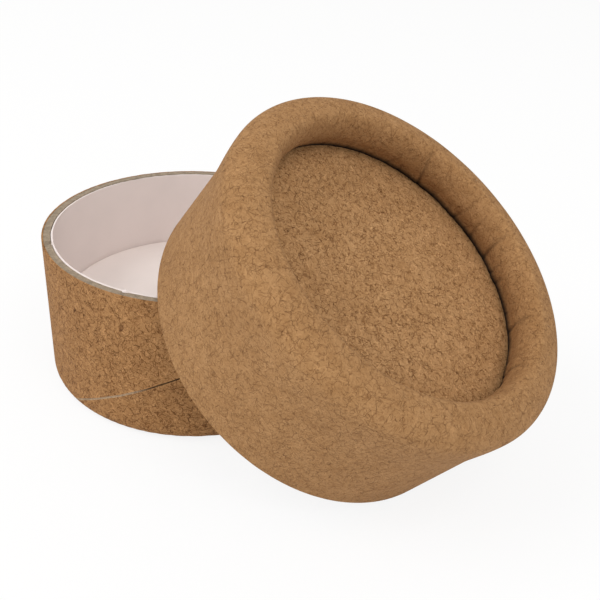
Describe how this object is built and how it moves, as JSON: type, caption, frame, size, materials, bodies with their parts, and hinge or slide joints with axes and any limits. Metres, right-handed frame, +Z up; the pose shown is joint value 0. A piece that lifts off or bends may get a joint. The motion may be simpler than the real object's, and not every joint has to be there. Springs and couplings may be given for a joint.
{
  "type": "round gift box",
  "caption": "Short round gift box of wound kraft board with a rolled-edge lift-off lid, shown open with the lid leaning on the base.",
  "frame": {"origin": "centre of the base's foot, on the surface that it stands on", "axes": "+Z up the base's axis; +X the way the lid leans, so the box is symmetric about the XZ plane"},
  "size_m": [0.1034, 0.0672, 0.06],
  "materials": {
    "kraft": "matte fibrous kraft paper",
    "grey_board": "matte cut board",
    "kraft_board": "matte mottled kraft board",
    "white_paper": "smooth white paper"
  },
  "bodies": {
    "base": {"base_wrap": "kraft", "base_board": "grey_board", "base_liner": "white_paper", "base_bottom_disc": "kraft_board", "base_floor_disc": "white_paper"},
    "lid": {"lid_wrap": "kraft", "lid_board": "grey_board", "lid_liner": "white_paper", "lid_top_disc": "kraft_board", "lid_inner_disc": "white_paper"}
  },
  "joints": [
    {"name": "lid_lift", "type": "slide", "parent": "base", "child": "lid", "axis": [0.5843, 0, 0.8115], "range_m": [0, 0.045]}
  ]
}
